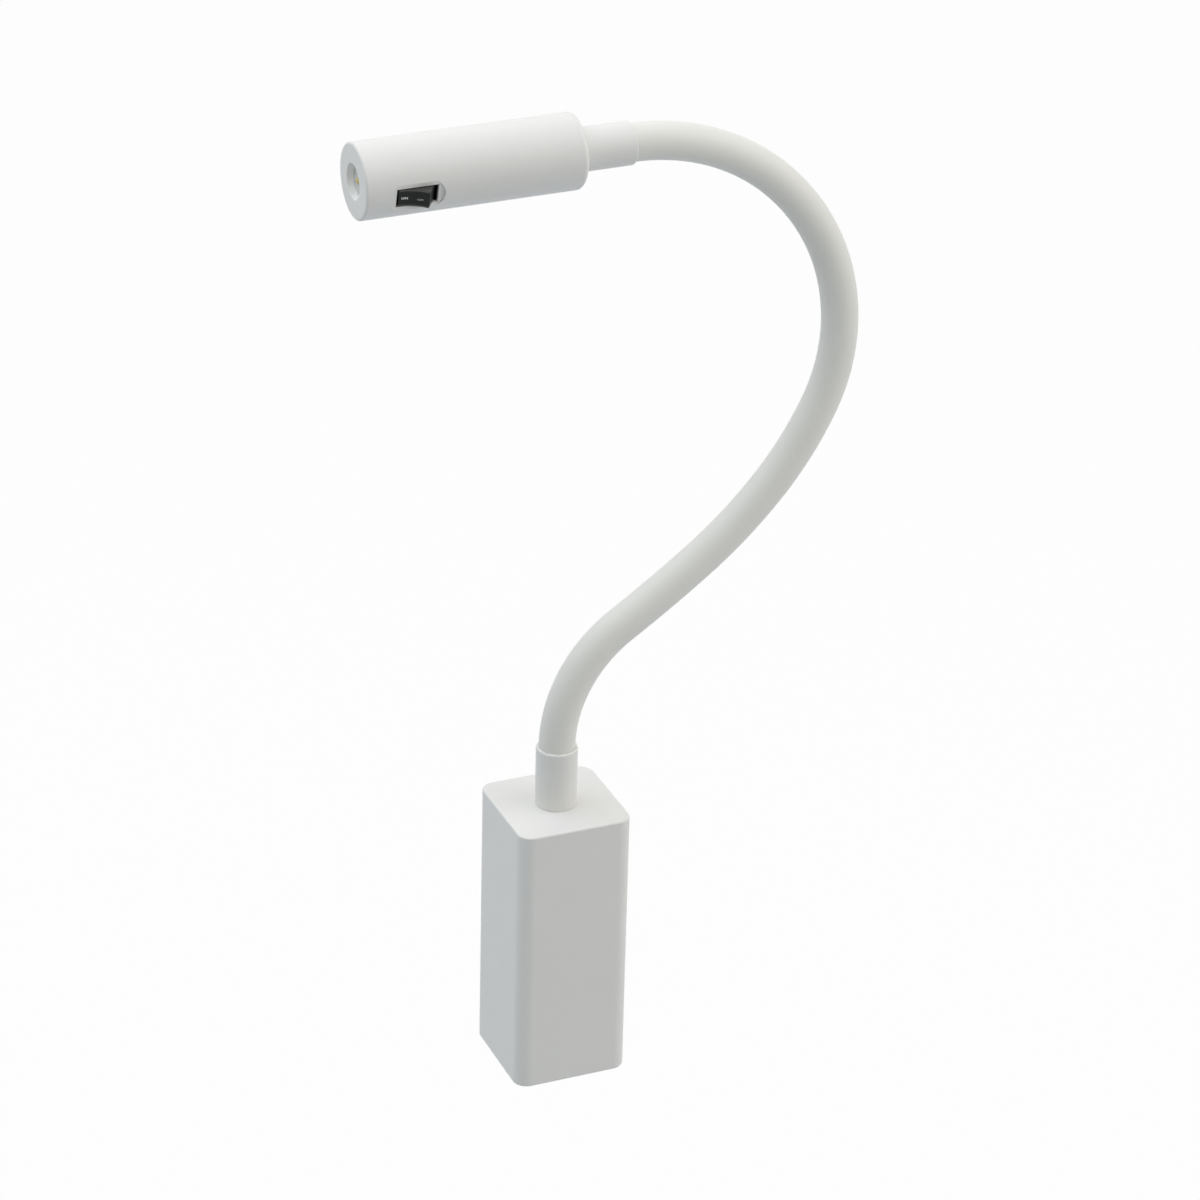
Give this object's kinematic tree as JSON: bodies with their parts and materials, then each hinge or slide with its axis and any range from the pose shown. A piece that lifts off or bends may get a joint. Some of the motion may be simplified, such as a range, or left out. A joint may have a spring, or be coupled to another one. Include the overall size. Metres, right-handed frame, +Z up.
{
  "type": "gooseneck wall light",
  "caption": "Wall light: rounded box base on a wall bracket, bendable sleeved gooseneck, and a turned cylindrical spot head with a lens and a rocker switch in a milled flat.",
  "frame": {"origin": "middle of the wall bracket's back face, in the plane of the wall", "axes": "+Y into the wall, +Z up, +X to the right seen from the room"},
  "size_m": [0.1736, 0.04, 0.3419],
  "materials": {
    "white_steel": "matt white powder coat on sheet steel",
    "white_alu": "matt white powder coat on turned aluminium",
    "white_sleeve": "smooth matt white sleeve",
    "spring_steel": "wound spring steel",
    "zinc_steel": "zinc plated",
    "bare_alu": "bare turned aluminium",
    "brass": "plain brass",
    "black_rubber": "moulded rubber",
    "black_plastic": "fine satin black moulding",
    "white_nylon": "moulded nylon",
    "driver_plastic": "moulded potting case",
    "brown_wire": "wire insulation",
    "blue_wire": "wire insulation",
    "green_wire": "wire insulation",
    "white_wire": "cable jacket",
    "red_wire": "wire insulation",
    "lens_clear": "clear moulded optic",
    "phosphor": "yellow phosphor",
    "board_white": "white solder mask"
  },
  "bodies": {
    "base": {"base_housing": "white_steel", "wall_bracket": "zinc_steel", "lock_screw": "zinc_steel", "cable_bush": "black_rubber", "terminal_block": "white_nylon", "terminal_screws": "brass", "bracket_screws": "zinc_steel", "led_driver": "driver_plastic", "live_lead": "brown_wire", "neutral_lead": "blue_wire", "earth_lead": "green_wire", "output_lead": "white_wire", "base_collar": "white_alu", "base_nipple": "brass", "base_washer": "zinc_steel", "base_nut": "zinc_steel", "neck_sleeve_0": "white_sleeve", "neck_core_0": "spring_steel", "neck_cable_0": "white_wire"},
    "neck_1": {"neck_sleeve_1": "white_sleeve", "neck_core_1": "spring_steel", "neck_cable_1": "white_wire"},
    "neck_2": {"neck_sleeve_2": "white_sleeve", "neck_core_2": "spring_steel", "neck_cable_2": "white_wire"},
    "neck_3": {"neck_sleeve_3": "white_sleeve", "neck_core_3": "spring_steel", "neck_cable_3": "white_wire"},
    "neck_4": {"neck_sleeve_4": "white_sleeve", "neck_core_4": "spring_steel", "neck_cable_4": "white_wire"},
    "neck_5": {"neck_sleeve_5": "white_sleeve", "neck_core_5": "spring_steel", "neck_cable_5": "white_wire"},
    "neck_6": {"neck_sleeve_6": "white_sleeve", "neck_core_6": "spring_steel", "neck_cable_6": "white_wire"},
    "neck_7": {"neck_sleeve_7": "white_sleeve", "neck_core_7": "spring_steel", "neck_cable_7": "white_wire"},
    "neck_8": {"neck_sleeve_8": "white_sleeve", "neck_core_8": "spring_steel", "neck_cable_8": "white_wire"},
    "head": {"neck_sleeve_9": "white_sleeve", "neck_core_9": "spring_steel", "neck_cable_9": "white_wire", "head_collar": "white_alu", "head_nipple": "brass", "head_nut": "zinc_steel", "head_end_cap": "white_alu", "head_shell": "white_alu", "lens": "lens_clear", "led_chip": "phosphor", "led_board": "board_white", "heat_sink": "bare_alu", "head_leads": "red_wire", "switch_case": "black_plastic", "switch_terminals": "brass"},
    "rocker": {"switch_rocker": "black_plastic"}
  },
  "joints": [
    {"name": "neck_bend_1", "type": "hinge", "parent": "base", "child": "neck_1", "pos_m": [0.0026, -0.02, 0.08622], "axis": [0, -1, 0], "range_deg": [-22, 22]},
    {"name": "neck_bend_2", "type": "hinge", "parent": "neck_1", "child": "neck_2", "pos_m": [0.02202, -0.02, 0.11153], "axis": [0.5519, 0, -0.8339], "range_deg": [-8, 22]},
    {"name": "neck_bend_3", "type": "hinge", "parent": "neck_2", "child": "neck_3", "pos_m": [0.04848, -0.02, 0.1304], "axis": [0, -1, 0], "range_deg": [-22, 22]},
    {"name": "neck_bend_4", "type": "hinge", "parent": "neck_3", "child": "neck_4", "pos_m": [0.07211, -0.02, 0.15263], "axis": [0.7547, 0, -0.6561], "range_deg": [-8, 22]},
    {"name": "neck_bend_5", "type": "hinge", "parent": "neck_4", "child": "neck_5", "pos_m": [0.08988, -0.02, 0.17973], "axis": [0, -1, 0], "range_deg": [-22, 22]},
    {"name": "neck_bend_6", "type": "hinge", "parent": "neck_5", "child": "neck_6", "pos_m": [0.09615, -0.02, 0.21128], "axis": [0.9986, 0, 0.0523], "range_deg": [-8, 22]},
    {"name": "neck_bend_7", "type": "hinge", "parent": "neck_6", "child": "neck_7", "pos_m": [0.08727, -0.02, 0.24225], "axis": [0, -1, 0], "range_deg": [-22, 22]},
    {"name": "neck_bend_8", "type": "hinge", "parent": "neck_7", "child": "neck_8", "pos_m": [0.066, -0.02, 0.2665], "axis": [0.5948, 0, 0.8039], "range_deg": [-8, 22]},
    {"name": "neck_bend_9", "type": "hinge", "parent": "neck_8", "child": "head", "pos_m": [0.03655, -0.02, 0.27961], "axis": [0, -1, 0], "range_deg": [-22, 22]},
    {"name": "switch_rock", "type": "hinge", "parent": "head", "child": "rocker", "pos_m": [-0.05438, -0.02745, 0.27859], "axis": [-0.0084, -0.2504, 0.9681], "range_deg": [0, 36]}
  ]
}
